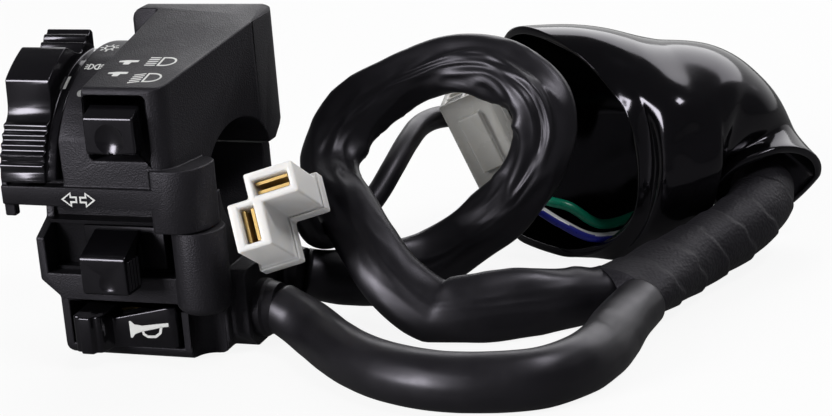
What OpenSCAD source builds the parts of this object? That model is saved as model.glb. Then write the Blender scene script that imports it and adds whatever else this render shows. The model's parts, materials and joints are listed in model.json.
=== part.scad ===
// Left-hand handlebar switch cluster of a motorcycle.
// Two moulded halves clamp round the handlebar. The upper half carries the rotary light knob and the
// push-push dimmer button, the lower half the turn-signal slide and the horn lever. Two sleeved looms
// leave the lower half, meet under a tape wrap and end in a rubber boot with two plug housings.
// The origin is on the bar's axis. +X runs along the bar to the inboard end, +Y away from the rider,
// +Z up.

/* [Handlebar clamp] */
// Diameter of the handlebar
bar_d = 22.2; // [20:0.1:25]
// Radial clearance between the bar and the bore
bar_gap = 0.1; // [0:0.05:0.2]
// Gap between the two halves at the seam
seam_gap = 0.4; // [0.2:0.1:1]
// Thread diameter of the two clamp screws
screw_d = 4; // [3:0.5:5]
// Head diameter of the clamp screws
screw_head_d = 7; // [6:0.5:8]
// Distance of the front screw from the bar's axis
screw_front = 17; // [16:0.25:18]
// Distance of the rear screw from the bar's axis
screw_rear = 16.6; // [16:0.25:17.5]

/* [Upper half] */
// Reach of the upper half to the left of the clamp's middle
upper_left = 21.5; // [20:0.5:25]
// Reach of the upper half to the right of the clamp's middle
upper_right = 23; // [21:0.5:25]
// Distance of the front face from the bar's axis
upper_front = 23.5; // [23:0.25:26]
// Distance of the rear face from the bar's axis
upper_rear = 20.6; // [19:0.25:23]
// Height of the top face at its front edge
top_front_h = 23.4; // [22:0.25:26]
// Height of the top face at its rear edge
top_rear_h = 31.2; // [30:0.2:33]
// Height of the seam behind the bar
rear_seam_h = 3.2; // [2:0.2:5]
// Height of the raised band along the front lower edge
band_h = 4; // [3:0.25:5]
// Depth of the screw lobe below the bar's axis
lobe_drop = 6; // [5:0.25:7]

/* [Light knob] */
// Radius of the drum that the knob turns on
drum_r = 22.2; // [20.5:0.1:23]
// Width of the knob along the bar
knob_w = 12; // [10:0.5:13]
// Base radius of the knob's rim
knob_r = 26.4; // [25.5:0.1:28]
// Height of the thumb lobe over the rim
knob_lobe_h = 4.4; // [3:0.2:6]
// Height of the grip ribs
knob_rib_h = 0.8; // [0.4:0.1:1.2]
// Turn from off to head lamp
knob_turn = 31; // [25:1:33]

/* [Dimmer button] */
// Width of the button
dimmer_w = 10.8; // [9:0.2:12]
// Height of the button
dimmer_h = 7.6; // [6.5:0.1:8.5]
// Rise of the button's sloping top behind its face
dimmer_brow_h = 2.2; // [0.5:0.1:2.8]
// Reach of the button's face from the bar's axis
dimmer_reach = 27; // [26:0.25:29]
// Travel of the button
dimmer_travel = 3; // [2:0.25:3.5]

/* [Turn-signal slide] */
// Width of the thumb cap
turn_w = 10; // [8:0.25:12]
// Height of the thumb cap
turn_h = 8; // [7:0.25:9]
// Reach of the cap's face from the bar's axis
turn_reach = 27; // [26:0.25:29]
// Travel to either side
turn_travel = 4; // [3:0.25:4.5]
// Travel of the cap when it is pushed to cancel
cancel_travel = 1.5; // [1:0.1:1.6]

/* [Horn lever] */
// Height of the lever
horn_h = 8.6; // [7.5:0.1:9]
// Reach of the thumb end from the bar's axis
horn_reach = 24.6; // [23.5:0.2:27]
// Diameter of the pivot pin
horn_pin_d = 2; // [1.5:0.1:2.4]
// Swing of the lever
horn_swing = 6; // [4:0.5:7]

/* [Lower half] */
// Reach of the lower half to the left of the clamp's middle
lower_left = 18; // [17:0.25:20]
// Reach of the lower half to the right of the clamp's middle
lower_right = 21; // [20:0.25:23]
// Distance of the front face from the bar's axis
lower_front = 19; // [18.5:0.1:20]
// Distance of the rear face from the bar's axis
lower_rear = 15; // [14:0.25:17]
// Depth of the lower half below the bar's axis
lower_drop = 35; // [34:0.25:37]
// Thickness of the outer walls
wall = 2; // [1.6:0.1:2.4]

/* [Loom] */
// Outer diameter of the two loom sleeves
sleeve_d = 10.4; // [9:0.2:10.6]
// Outer diameter of the taped bundle
tape_d = 14; // [12.6:0.2:14.4]
// Outer diameter of the two-way plug's lead
lead_d = 5; // [4:0.2:5.2]
// Outer diameter of a single wire
wire_d = 2.2; // [1.6:0.1:2.6]
// Wall of the rubber boot
boot_wall = 1.8; // [1.2:0.1:2.4]

/* [Plug housings] */
// Length of the two-way housing
plug_len = 20; // [17:0.5:22]
// Width of a blade slot
blade_w = 7.4; // [6.6:0.1:8]
// Length of the multi-way housing
multi_len = 26; // [22:0.5:28]
// Pitch of the cells in the multi-way housing
multi_pitch = 4.4; // [4:0.1:5]

/* [Fits] */
// Radial clearance of a turning fit
run_gap = 0.06; // [0.02:0.01:0.1]
// Clearance of a sliding piece to its guide
slide_gap = 0.2; // [0.1:0.05:0.3]
// Gap that pieces of different bodies keep
free_gap = 0.3; // [0.2:0.05:0.5]

/* [Hidden] */
$fn = 48;
arc_steps = 5;
eps = 0.01;

// Clamp
bore_r = bar_d / 2 + bar_gap;
half_seam = seam_gap / 2;
front_screw = [18, -screw_front];
rear_screw = [4, screw_rear];
screw_r = screw_d / 2;
screw_head_r = screw_head_d / 2;
screw_head_h = 3;
screw_grip = 6;
boss_r = 5.5;
front_boss_bottom = -24;
rear_boss_bottom = -12;

// Upper half
block_left = -1;
ridge_front_x = 16;
hump_left = -7.6;
hump_front = 14;
hump_round = 3.4;
top_edge_y = upper_rear - 5;
band_front = upper_front + 0.5;
band_bottom = -0.8;
band_top = band_bottom + band_h;
band_depth = 7;
lobe_left = 11;
peg = [2.4, 2, 2.6];
strip_w = 6.4;
strip_r = 26.6;
flange_w = 1.35;
flange_r = 24;

// Light knob
knob_left = -upper_left + flange_w + slide_gap;
knob_right = knob_left + knob_w;
collar_w = 2;
collar_r = 25.6;
knob_front_deg = 170;
knob_rear_deg = 88;
lobe_deg = 120;
lobe_half = 21;
grip_from = 143;
grip_to = 165;
tab_deg = 89;
tab_half = 13;
tab_to = 99;
foot_mid = (knob_left + knob_right) / 2;
neck_w = 3;
foot_w = 6;
foot_h = 1.6;
foot_top = drum_r - 2;
foot_front_deg = 168;
foot_rear_deg = 91;
groove_front_deg = 181;
groove_rear_deg = foot_rear_deg - knob_turn - 3;
detent_deg = 134;
detent_r = 1.5;
ball_r = 1.4;
spring_seat_r = bore_r + 2;
stud_r = 0.9;
stud_h = 1.5;
stud_degs = [115, 124, 144];

// Dimmer
dimmer_mid = [6, 14.8];
recess_depth = 4.5;
recess_side = 1.2;
recess_up = 3.4;
recess_down = 2.2;
guide_len = 2.5;
flange_out = 0.6;
dimmer_flange_len = 2.2;
dimmer_guide_front = -upper_front + recess_depth;
dimmer_guide_rear = dimmer_guide_front + guide_len;
dimmer_tail = dimmer_guide_rear + slide_gap + dimmer_flange_len;
dimmer_brow_rear = dimmer_guide_front - dimmer_travel - free_gap;
dimmer_floor = -7.2;
dimmer_base_t = 1.5;
dimmer_spring_r = 2.2;
dimmer_spring_seat = dimmer_tail - 3;
dimmer_base_front = dimmer_floor - dimmer_base_t;

// Turn slide
turn_x = 1;
slot_left = lower_left - wall;
slot_right = 16;
slot_floor = -17;
turn_wall = bore_r + 1.4;
turn_base_t = 1.1;
turn_base_front = -turn_wall - turn_base_t;
turn_top = -lobe_drop - free_gap;
hook_t = 0.7;
carrier_t = 2;
carrier_w = 18;
shoe_t = 0.6;
carrier_rear = turn_base_front - shoe_t - slide_gap;
carrier_front = carrier_rear - carrier_t;
carrier_top = turn_top - hook_t - slide_gap;
carrier_bottom = slot_floor + hook_t + slide_gap;
cap_rear = carrier_front - cancel_travel - slide_gap;
cap_bottom = slot_floor - 1.4;
cap_top = cap_bottom + turn_h;
cap_skirt_rear = -lower_front - cancel_travel - free_gap;
stem_w = 4;
stem_rear = turn_base_front - cancel_travel - slide_gap;
stem_z = (carrier_top + carrier_bottom) / 2;

// Horn
horn_top = -23.2;
horn_bottom = horn_top - horn_h;
horn_pivot = [10, -17];
horn_barrel_r = 2.2;
horn_rear = -16;
horn_left = -9.2;
horn_plate_front = -19.8;
horn_left_wall = -12;
horn_right_wall = 13;
horn_base_front = -11.6;
horn_base_t = 1.2;
leaf_t = 0.4;
horn_pin_r = horn_pin_d / 2;
horn_floor = -lower_drop + wall;

// Loom outlets
front_outlet = [-6.5, -27];
rear_outlet = [8, -24.5];
gland_r = 4.6;
gland_collar_r = 6;
gland_collar_w = 1.6;
loom_w = 4.4;
loom_top = -17;
gland_base_x = lower_right + loom_w - wall;
gland_tip_x = lower_right + loom_w + 4.1;
sleeve_r = sleeve_d / 2;
floor_z = -lower_drop;
lay_z = floor_z + sleeve_r;

// Routes of the two sleeves, the lead and the wires, as they lie
front_route = [
    [gland_tip_x, front_outlet[0], front_outlet[1]], [34.5, -8.4, -28.8], [40, -12.6, lay_z],
    [46, -19, lay_z], [53.5, -25.5, lay_z], [62, -30.5, lay_z], [72, -33.2, lay_z], [82, -32.6, lay_z],
    [90.8, -29.4, lay_z], [96.4, -22.4, lay_z], [98.8, -13.6, lay_z], [99.2, -4.7, lay_z],
    [99.4, 4.3, lay_z], [100.2, 13.3, lay_z]
];
rear_route = [
    [gland_tip_x, rear_outlet[0], rear_outlet[1]], [34.2, 10.8, -26.2], [39.4, 15.7, -27.8],
    [44.5, 21.5, -28.5], [50.5, 26.5, -27.5], [57, 30, -24], [63.5, 31.5, -19.5], [69.5, 32, -13.5],
    [74, 32.5, -6.5], [76.2, 33, 0.6], [74.4, 34.5, 7], [68.8, 36.5, 11.2], [60.8, 38.5, 13.2],
    [51.8, 38.5, 12.8], [43.8, 36.5, 10], [36.8, 33, 5.6], [32, 29, 0.2], [30.5, 24, -4.8],
    [33, 18, -8.6], [38.5, 12, -11.8], [45, 6.5, -17.8], [52, 2.5, -24.3], [60, 1, -29],
    [68.5, 2, lay_z], [75.5, 5, lay_z], [81.8, 9.2, lay_z], [87, 14.2, lay_z], [91.2, 19.8, lay_z]
];
lead_route = [
    [70, 67, -9], [61, 67.5, -8], [52, 65, -6], [45.5, 57.5, -4], [43, 49, -3.5], [42.5, 40.5, -5],
    [41.5, 33, -8.5], [39.5, 27, -13], [36.5, 21, -17], [33.4, 14.8, -18.6], [32.2, 8.6, -16.2], [32.4,
        3.6, -11],
    [33, -0.2, -6.3]
];
green_route = [
    [96, 64, -23], [88, 58.5, -26.5], [81.5, 53.5, -27], [75.5, 50.5, -22.2], [70, 50.6, -20.8],
    [64, 53.4, -18.8]
];
blue_route = [
    [97, 62, -26], [88, 56, -29.3], [80.5, 51, -29.3], [74, 48.5, -25.5], [67, 49.5, -21.8],
    [60.2, 52.5, -20.4]
];

// Tape wrap: spine, then half height and half width from the two sleeves to the boot
tape_r = tape_d / 2;
tape_spine = [
    [95.2, 15.8, -29.3], [98.6, 21.6, -28.9], [102.3, 28.6, -28.3], [106.4, 36.6, -27.5], [110.2, 44.2, -26.5],
    [113.3, 51, -25.3], [115.3, 57.2, -24], [115.8, 62.6, -22.8], [115.2, 67, -21.7]
];
tape_half = [
    [5.6, 10.8], [6.1, 9.6], [6.8, 8.2], [tape_r, tape_r], [tape_r, tape_r], [tape_r, tape_r],
    [tape_r, tape_r], [tape_r, tape_r], [tape_r, tape_r]
];

// Rubber boot: spine, half width and half height from the plug mouth to the loom mouth
boot_spine = [
    [62, 57.5, -9.5], [72, 60.5, -10], [82, 63, -11], [91, 66, -11.5], [100, 69.5, -12], [107.5, 71, -14.5],
    [112.6, 69.7, -18.2], [116.4, 65.7, -21.2]
];
boot_half = [
    [25.8, 20.5], [26.2, 22.5], [25.2, 25], [23.3, 24.5], [21.8, 21.5], [17.4, 17], [11.8, 13.4], [11.4, 14]
];
boot_sides = 24;
boot_slant = 30;
boot_slant_back = 4;
boot_slant_run = 46;
boot_tuck = 0.45;

// Plug housings
plug_at = [28.8, -16.8, 4.6];
plug_turn = [-30, -15, 14.5];
plug_cell_h = 6.4;
plug_rim = 0.8;
plug_rim_w = 4;
blade_t = 1.6;
blade_recess = 1.5;
blade_len = 11;
multi_at = [57.5, 52, -8];
multi_turn = [0, -22, 12];
multi_cols = 2;
multi_rows = 3;
multi_skin = 1;
multi_cell_depth = 14;

// Vector and outline helpers
function unit(v) = v / norm(v);
function wrap_deg(a) = a - 360 * round(a / 360);
function corner(a, p, b, r) =
    r <= 0 ? [p] :
    let (
        u = unit(a - p),
        v = unit(b - p),
        half = acos(u * v) / 2,
        c = p + unit(u + v) * r / sin(half),
        s = p + u * r / tan(half) - c,
        e = p + v * r / tan(half) - c,
        from = atan2(s[1], s[0]),
        sweep = wrap_deg(atan2(e[1], e[0]) - from)
    )
    [for (i = [0:arc_steps]) c + r * [cos(from + sweep * i / arc_steps), sin(from
        + sweep * i / arc_steps)]];
function flat(p) = [p[0], p[1]];
// Each point is [x, y, radius of its rounded corner]
function rounded(pts) =
    let (n = len(pts))
    [for (i = [0:n - 1]) each corner(flat(pts[(i + n - 1) % n]), flat(pts[i]), flat(pts[(i + 1) % n]),
        pts[i][2])];
function box_outline(x0, y0, x1, y1, r) = rounded([[x0, y0, r], [x1, y0, r], [x1, y1, r], [x0, y1, r]]);

// Extrusions of an outline along one axis: drawn in (Y, Z), (X, Z) and (X, Y)
module along_x(from, to) {
    translate([from, 0, 0]) rotate([90, 0, 90]) linear_extrude(to - from) children();
}
module along_y(from, to) {
    translate([0, to, 0]) rotate([90, 0, 0]) linear_extrude(to - from) children();
}
module along_z(from, to) {
    translate([0, 0, from]) linear_extrude(to - from) children();
}
module span(a, b) {
    translate(a) cube(b - a);
}
module rod_x(from, to, r) {
    translate([from, 0, 0]) rotate([0, 90, 0]) cylinder(h = to - from, r = r);
}
// Part of a ring about the bar, between two angles counted from +Y to +Z; drawn in (radius, X)
module ring_part(from, to) {
    rotate([from, 0, 0]) rotate([0, 90, 0]) rotate([0, 0, 90]) rotate_extrude(angle = to - from) children();
}
// Radial axis at one angle, with its origin on the bar's axis and Z outwards
module radial(x, deg) {
    translate([x, 0, 0]) rotate([deg - 90, 0, 0]) children();
}

// Sweep of a round section along a route
function mid_points(p) =
    let (n = len(p))
    [
        for (i = [0:n - 2])
            let (a = p[max(i - 1, 0)], b = p[i], c = p[i + 1], d = p[min(i + 2, n - 1)])
            each [b, (9 * (b + c) - a - d) / 16],
        p[n - 1]
    ];
function tangents(p) =
    let (n = len(p))
    [for (i = [0:n - 1]) unit(p[min(i + 1, n - 1)] - p[max(i - 1, 0)])];
function square_to(n, t) = unit(n - (n * t) * t);
function normals(t) =
    let (k = len(t))
    [for (i = 0, n = square_to([0, 0, 1], t[0]); i < k; n = square_to(n, t[min(i + 1, k - 1)]), i = i
        + 1) n];
function ring(c, n, t, rn, rb, sides) =
    let (b = cross(t, n))
    [for (k = [0:sides - 1]) c + n * rn * cos(360 * k / sides) + b * rb * sin(360 * k / sides)];
module sweep(rings, sides) {
    n = len(rings);
    points = [for (r = rings) each r];
    walls = [
        for (i = [0:n - 2]) for (k = [0:sides - 1])
            let (a = i * sides + k, b = i * sides + (k + 1) % sides)
            each [[a, b, b + sides], [a, b + sides, a + sides]]
    ];
    caps = [
        [for (k = [sides - 1:-1:0]) k],
        [for (k = [0:sides - 1]) (n - 1) * sides + k]
    ];
    polyhedron(points, concat(walls, caps), convexity = 8);
}
module tube(route, d, sides = 10) {
    p = mid_points(route);
    t = tangents(p);
    m = normals(t);
    sweep([for (i = [0:len(p) - 1]) ring(p[i], m[i], t[i], d / 2, d / 2, sides)], sides);
}
// Close-wound compression spring standing on Z
module coil_spring(r, wire_r, length, turns) {
    steps = 8 * turns;
    rise = (length - 2 * wire_r) / steps;
    p = [for (i = [0:steps]) [r * cos(45 * i), r * sin(45 * i), wire_r + rise * i]];
    t = tangents(p);
    out = [for (i = [0:steps]) square_to([cos(45 * i), sin(45 * i), 0], t[i])];
    sweep([for (i = [0:steps]) ring(p[i], out[i], t[i], wire_r, wire_r, 6)], 6);
}

// Upper half
module upper_block() {
    side = rounded([
        [-upper_front, half_seam, 0], [-upper_front, top_front_h, 1.5], [top_edge_y, top_rear_h, 1],
        [upper_rear - 1.6, top_rear_h, 2.5], [upper_rear, top_rear_h - 16, 8], [upper_rear,
            rear_seam_h + 5, 3], [upper_rear - 6.5, rear_seam_h, 0],
        [0, rear_seam_h, 0], [0, half_seam, 0]
    ]);
    plan = rounded([
        [block_left, -upper_front, 0], [ridge_front_x, -upper_front, 4], [upper_right, 8, 10],
        [upper_right, upper_rear, 4], [hump_left, upper_rear, 4], [hump_left, hump_front, 1],
        [block_left, hump_front, 1]
    ]);
    front = rounded([
        [hump_left, -lobe_drop, 0], [hump_left, top_rear_h, hump_round], [upper_right, top_rear_h, 2.4],
        [upper_right, -lobe_drop, 0]
    ]);
    intersection() {
        along_x(-upper_left, upper_right) polygon(side);
        along_z(-lobe_drop, top_rear_h) polygon(plan);
        along_y(-upper_front, upper_rear) polygon(front);
    }
}
module upper_drum() {
    intersection() {
        union() {
            rod_x(-upper_left, block_left + 1, drum_r);
            rod_x(-upper_left, -upper_left + flange_w, flange_r);
            rod_x(block_left - strip_w, block_left + 1, strip_r);
        }
        union() {
            span([-upper_left, -upper_front, half_seam], [block_left + 1, 1, top_rear_h]);
            span([-upper_left, 0, rear_seam_h], [block_left + 1, upper_rear - 1, top_rear_h]);
        }
    }
}
module upper_lobe() {
    along_z(-lobe_drop, 7) polygon(rounded([
        [lobe_left, -band_front, 2], [front_screw[0] + 3.5, -band_front, 6.5],
        [front_screw[0] + 4.4, -turn_wall, 3], [lobe_left, -turn_wall, 0]
    ]));
}
module dimmer_outline(grow) {
    x = dimmer_w / 2 + grow;
    z = dimmer_h / 2 + grow;
    polygon(box_outline(dimmer_mid[0] - x, dimmer_mid[1] - z, dimmer_mid[0] + x, dimmer_mid[1] + z, 0.8));
}
module dimmer_pocket() {
    x = dimmer_w / 2 + recess_side;
    z = dimmer_h / 2;
    along_y(-upper_front - 1, dimmer_guide_front) polygon(box_outline(
        dimmer_mid[0] - x, dimmer_mid[1] - z - recess_down, dimmer_mid[0] + x, dimmer_mid[1] + z
            + recess_up, 1));
    along_y(dimmer_guide_front - eps, dimmer_floor) dimmer_outline(slide_gap);
    along_y(dimmer_guide_rear, dimmer_floor) dimmer_outline(slide_gap + flange_out);
}
module knob_groove() {
    ring_part(groove_rear_deg, groove_front_deg) {
        translate([foot_top - foot_h - slide_gap, foot_mid - foot_w / 2 - slide_gap])
            square([foot_h + 2 * slide_gap, foot_w + 2 * slide_gap]);
        translate([foot_top, foot_mid - neck_w / 2 - slide_gap])
            square([drum_r - foot_top + 1, neck_w + 2 * slide_gap]);
    }
}
module upper_housing() color("#1c1c1e") {
    difference() {
        union() {
            upper_block();
            upper_drum();
            upper_lobe();
            span([-upper_left, -band_front, band_bottom], [lobe_left + 2, -band_front + band_depth,
                band_top]);
            span([-upper_left, -band_front + 0.6, band_bottom - peg[2]],
                [-upper_left + peg[0], -band_front + 0.6 + peg[1], band_bottom + 1]);
        }
        rod_x(-upper_left - 1, upper_right + 1, bore_r);
        dimmer_pocket();
        span([block_left + wall, dimmer_floor - eps, bore_r + wall], [upper_right - 4, upper_rear - 5,
            top_front_h - wall]);
        knob_groove();
        radial(foot_mid, detent_deg) translate([0, 0, spring_seat_r]) cylinder(h = drum_r,
            r = detent_r + run_gap);
        for (deg = stud_degs)
            radial(foot_mid, deg) translate([0, 0, foot_top - foot_h - slide_gap - stud_h])
                cylinder(h = stud_h + 1, r = stud_r);
        translate([front_screw[0], front_screw[1], -lobe_drop - 1])
            cylinder(h = screw_grip + lobe_drop + 1, r = screw_r + run_gap);
        translate([rear_screw[0], rear_screw[1], rear_seam_h - 1]) cylinder(h = screw_grip + 1,
            r = screw_r + run_gap);
    }
}

// Light knob: a grip that slides round the drum, held by a foot in the drum's groove
function knob_bump(deg, mid, half) = abs(deg - mid) < half ? pow(cos(90 * (deg - mid) / half), 2) : 0;
function knob_ribs(deg, from, to, count) =
    deg < from || deg > to ? 0 : knob_rib_h * (0.5 - 0.5 * cos(360 * count * (deg - from) / (to - from)));
function knob_edge(deg) =
    knob_r + knob_lobe_h * min(1, 1.6 * knob_bump(deg, lobe_deg, lobe_half)) + knob_ribs(deg,
        grip_from, grip_to, 5)
    + 0.6 * knob_lobe_h * knob_bump(deg, tab_deg, tab_half) + knob_ribs(deg, knob_rear_deg, tab_to, 3);
function knob_heel(deg) = 0.8 * drum_r * [cos(deg), sin(deg)];
module light_knob() color("#0b0b0c") {
    edge = [for (deg = [knob_rear_deg:1:knob_front_deg]) knob_edge(deg) * [cos(deg), sin(deg)]];
    difference() {
        union() {
            along_x(knob_left, knob_right - collar_w) polygon(concat([knob_heel(knob_front_deg),
                knob_heel(knob_rear_deg)], edge));
            ring_part(knob_rear_deg + 1, knob_front_deg - 1)
                translate([drum_r - 2, knob_right - collar_w - 1]) square([collar_r - drum_r + 2,
                    collar_w + 1]);
        }
        rod_x(-upper_left - 1, block_left, drum_r + run_gap);
    }
    ring_part(foot_rear_deg, foot_front_deg) {
        translate([foot_top - foot_h, foot_mid - foot_w / 2]) square([foot_h, foot_w]);
        translate([foot_top - 0.5, foot_mid - neck_w / 2]) square([drum_r - foot_top + 1, neck_w]);
    }
}
module light_contacts() color("#c49a45") {
    for (deg = stud_degs)
        radial(foot_mid, deg) translate([0, 0, foot_top - foot_h - slide_gap - stud_h])
            cylinder(h = stud_h, r = stud_r);
}
module detent_ball() color("#c8c8cc") {
    radial(foot_mid, detent_deg) translate([0, 0, foot_top - foot_h - run_gap - ball_r]) sphere(ball_r);
}
module detent_spring() color("#b8b8bd") {
    length = foot_top - foot_h - run_gap - 2 * ball_r - spring_seat_r + 0.2;
    radial(foot_mid, detent_deg) translate([0, 0, spring_seat_r]) coil_spring(detent_r - 0.4, 0.25,
        length, 3);
}

// Dimmer
module dimmer_face() {
    x = dimmer_w / 2;
    low = dimmer_mid[1] - dimmer_h / 2;
    high = dimmer_mid[1] + dimmer_h / 2;
    intersection() {
        along_x(dimmer_mid[0] - x, dimmer_mid[0] + x) polygon(rounded([
            [-dimmer_reach, low, 0.6], [-dimmer_reach, high, 0.8], [dimmer_brow_rear, high
                + dimmer_brow_h, 0.8],
            [dimmer_brow_rear, low, 0]
        ]));
        along_y(-dimmer_reach, dimmer_brow_rear)
            polygon(box_outline(dimmer_mid[0] - x, low, dimmer_mid[0] + x, high + dimmer_brow_h, 0.8));
    }
}
module dimmer_button() color("#0d0d0e") {
    difference() {
        union() {
            dimmer_face();
            along_y(dimmer_brow_rear - 1, dimmer_tail) dimmer_outline(0);
            along_y(dimmer_guide_rear + slide_gap, dimmer_tail) dimmer_outline(flange_out);
        }
        translate([dimmer_mid[0], -dimmer_reach - 5.1, dimmer_mid[1] - 0.6]) sphere(6);
        translate([0, dimmer_spring_seat, 0]) translate([dimmer_mid[0], 0, dimmer_mid[1]]) rotate([-90,
            0, 0])
            cylinder(h = 10, r = dimmer_spring_r + 0.7);
    }
}
module dimmer_spring() color("#b8b8bd") {
    translate([dimmer_mid[0], dimmer_spring_seat + 0.1, dimmer_mid[1]]) rotate([-90, 0, 0])
        coil_spring(dimmer_spring_r, 0.35, dimmer_base_front - dimmer_spring_seat - 0.2, 5);
}
module dimmer_base() color("#6b4a2a") {
    difference() {
        along_y(dimmer_base_front, dimmer_floor) dimmer_outline(flange_out);
        for (side = [-1, 1])
            translate([dimmer_mid[0] + 4 * side, dimmer_base_front - 1, dimmer_mid[1]]) rotate([-90, 0, 0])
                cylinder(h = dimmer_base_t + 2, r = stud_r);
    }
}
module dimmer_contacts() color("#c49a45") {
    for (side = [-1, 1])
        translate([dimmer_mid[0] + 4 * side, dimmer_base_front - 0.6, dimmer_mid[1]]) rotate([-90, 0, 0])
            cylinder(h = dimmer_base_t + 0.6, r = stud_r);
}

// Lower half
module lower_outer() {
    side = rounded([
        [-lower_front, -lower_drop, 3], [-lower_front, -9.5, 0.6], [-turn_wall - 1, -6.5, 0.6],
        [-turn_wall, -half_seam, 0], [0, -half_seam, 0], [0, rear_seam_h - seam_gap, 0],
        [lower_rear, rear_seam_h - seam_gap, 1.5], [lower_rear, -26, 5], [lower_rear - 4, -lower_drop, 4]
    ]);
    front = rounded([
        [-lower_left, rear_seam_h, 0], [-lower_left, -18.5, 1], [-lower_left + 4, -22, 1],
        [-lower_left + 4, -lower_drop, 2], [lower_right, -lower_drop, 3], [lower_right, rear_seam_h, 0]
    ]);
    intersection() {
        along_x(-lower_left, lower_right) polygon(side);
        along_y(-lower_front, lower_rear) polygon(front);
    }
    translate([front_screw[0], front_screw[1], front_boss_bottom]) rotate_extrude() polygon(concat(
        [[0, 0]], [for (i = [0:arc_steps]) [boss_r - 2 + 2 * sin(90 * i / arc_steps),
            2 - 2 * cos(90 * i / arc_steps)]],
        [[boss_r, -lobe_drop - free_gap - front_boss_bottom], [0,
            -lobe_drop - free_gap - front_boss_bottom]]));
    translate([rear_screw[0], rear_screw[1], rear_boss_bottom])
        cylinder(h = rear_seam_h - seam_gap - rear_boss_bottom, r = boss_r - 0.5);
    along_x(lower_right - 1, lower_right + loom_w) polygon(rounded([
        [front_outlet[0] - 7, loom_top, 2], [front_outlet[0] - 7, -lower_drop + 4, 3],
        [front_outlet[0] - 3, -lower_drop + 0.6, 2], [rear_outlet[0] + 6, -lower_drop + 0.6, 4],
        [rear_outlet[0] + 6, loom_top, 4]
    ]));
    span([lower_right - 2, front_screw[1], -31], [lower_right + 1.5, front_screw[1] + 2,
        front_boss_bottom + 4]);
}
module screw_hole(at, head_z) {
    translate([at[0], at[1], head_z]) cylinder(h = 60, r = screw_r + slide_gap);
    translate([at[0], at[1], head_z - 20]) cylinder(h = 20, r = screw_head_r + slide_gap);
}
front_head_z = front_boss_bottom + screw_head_h + 1;
rear_head_z = rear_boss_bottom + screw_head_h + 0.5;
module lower_housing() color("#1a1a1c") {
    difference() {
        lower_outer();
        rod_x(-lower_left - 1, lower_right + 2, bore_r);
        span([-slot_left, -lower_front - 1, slot_floor], [slot_right, -turn_wall, 1]);
        span([lobe_left - free_gap, -lower_front - 5, -lobe_drop - free_gap], [lower_right + 5,
            -turn_wall + eps, 1]);
        span([horn_left_wall, -lower_front - 1, horn_bottom - 0.4], [horn_right_wall, horn_base_front
            + horn_base_t, horn_top + 0.4]);
        span([horn_left_wall + 2, horn_base_front, horn_floor], [lower_right - wall, lower_rear - 6,
            -bore_r - 3]);
        for (at = [front_outlet, rear_outlet])
            translate([0, at[0], at[1]]) rod_x(lower_right - wall - 1, lower_right + loom_w + 1, gland_r);
        screw_hole(front_screw, front_head_z);
        screw_hole(rear_screw, rear_head_z);
        translate([horn_pivot[0], horn_pivot[1], horn_floor - 1]) cylinder(h = horn_h + 5, r = horn_pin_r);
    }
}
module clamp_screw(at, head_z, top) {
    translate([at[0], at[1], head_z - screw_head_h]) difference() {
        union() {
            cylinder(h = screw_head_h, r = screw_head_r);
            cylinder(h = top - head_z + screw_head_h, r = screw_r);
        }
        for (turn = [0, 90])
            rotate([0, 0, turn]) translate([-screw_r, -0.5, -1]) cube([screw_d, 1, 2.6]);
    }
}
module clamp_screws() color("#8c8f94") {
    clamp_screw(front_screw, front_head_z, screw_grip - 1);
    clamp_screw(rear_screw, rear_head_z, rear_seam_h + screw_grip - 1);
}

// Turn-signal slide
module turn_cap() color("#0f0f10") {
    side = rounded([
        [-turn_reach, cap_bottom, 1], [-turn_reach, cap_top, 1.2], [cap_rear - 1.2, carrier_top + 0.2, 0.6],
        [cap_rear, carrier_top + 0.2, 0], [cap_rear, slot_floor + 0.5, 0], [cap_skirt_rear,
            slot_floor + 0.5, 0],
        [cap_skirt_rear, cap_bottom, 0]
    ]);
    difference() {
        union() {
            along_x(turn_x - turn_w / 2, turn_x + turn_w / 2) polygon(side);
            for (side_x = [-1, 1], i = [0:3])
                translate([turn_x + side_x * turn_w / 2, -turn_reach + 1.6 + 1.3 * i, cap_bottom + 0.8])
                    cylinder(h = turn_h - 1.8, r = 0.4, $fn = 16);
        }
        translate([turn_x + 0.8, -turn_reach - 4.6, cap_bottom + 2.6]) sphere(5);
    }
    span([turn_x - stem_w / 2, cap_rear - 1, stem_z - stem_w / 2], [turn_x + stem_w / 2, stem_rear,
        stem_z + stem_w / 2]);
}
module turn_carrier() color("#d8d4c8") {
    hole = stem_w / 2 + slide_gap;
    difference() {
        span([turn_x - carrier_w / 2, carrier_front, carrier_bottom], [turn_x + carrier_w / 2,
            carrier_rear, carrier_top]);
        span([turn_x - hole, carrier_front - 1, stem_z - hole], [turn_x + hole, carrier_rear + 1,
            stem_z + hole]);
    }
}
module turn_shoe() color("#c49a45") {
    for (side = [-1, 1])
        span([turn_x + 6 * side - 2, carrier_rear, stem_z - 1.5], [turn_x + 6 * side + 2,
            carrier_rear + shoe_t, stem_z + 1.5]);
}
module turn_base() color("#6b4a2a") {
    outline = [
        [-turn_wall, slot_floor], [carrier_front + 0.4, slot_floor], [carrier_front + 0.4, slot_floor
            + hook_t],
        [turn_base_front, slot_floor + hook_t], [turn_base_front, turn_top - hook_t],
        [carrier_front + 0.4, turn_top - hook_t], [carrier_front + 0.4, turn_top], [-turn_wall, turn_top]
    ];
    difference() {
        along_x(-slot_left + slide_gap, slot_right - slide_gap) polygon(outline);
        for (x = [-6, 0, 6])
            translate([turn_x + x, turn_base_front - 1, stem_z]) rotate([-90, 0, 0])
                cylinder(h = turn_base_t + 2, r = 1.2);
    }
}
module turn_contacts() color("#c49a45") {
    for (x = [-6, 0, 6])
        translate([turn_x + x, turn_base_front, stem_z]) rotate([-90, 0, 0]) cylinder(h = turn_base_t,
            r = 1.2);
}

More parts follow.
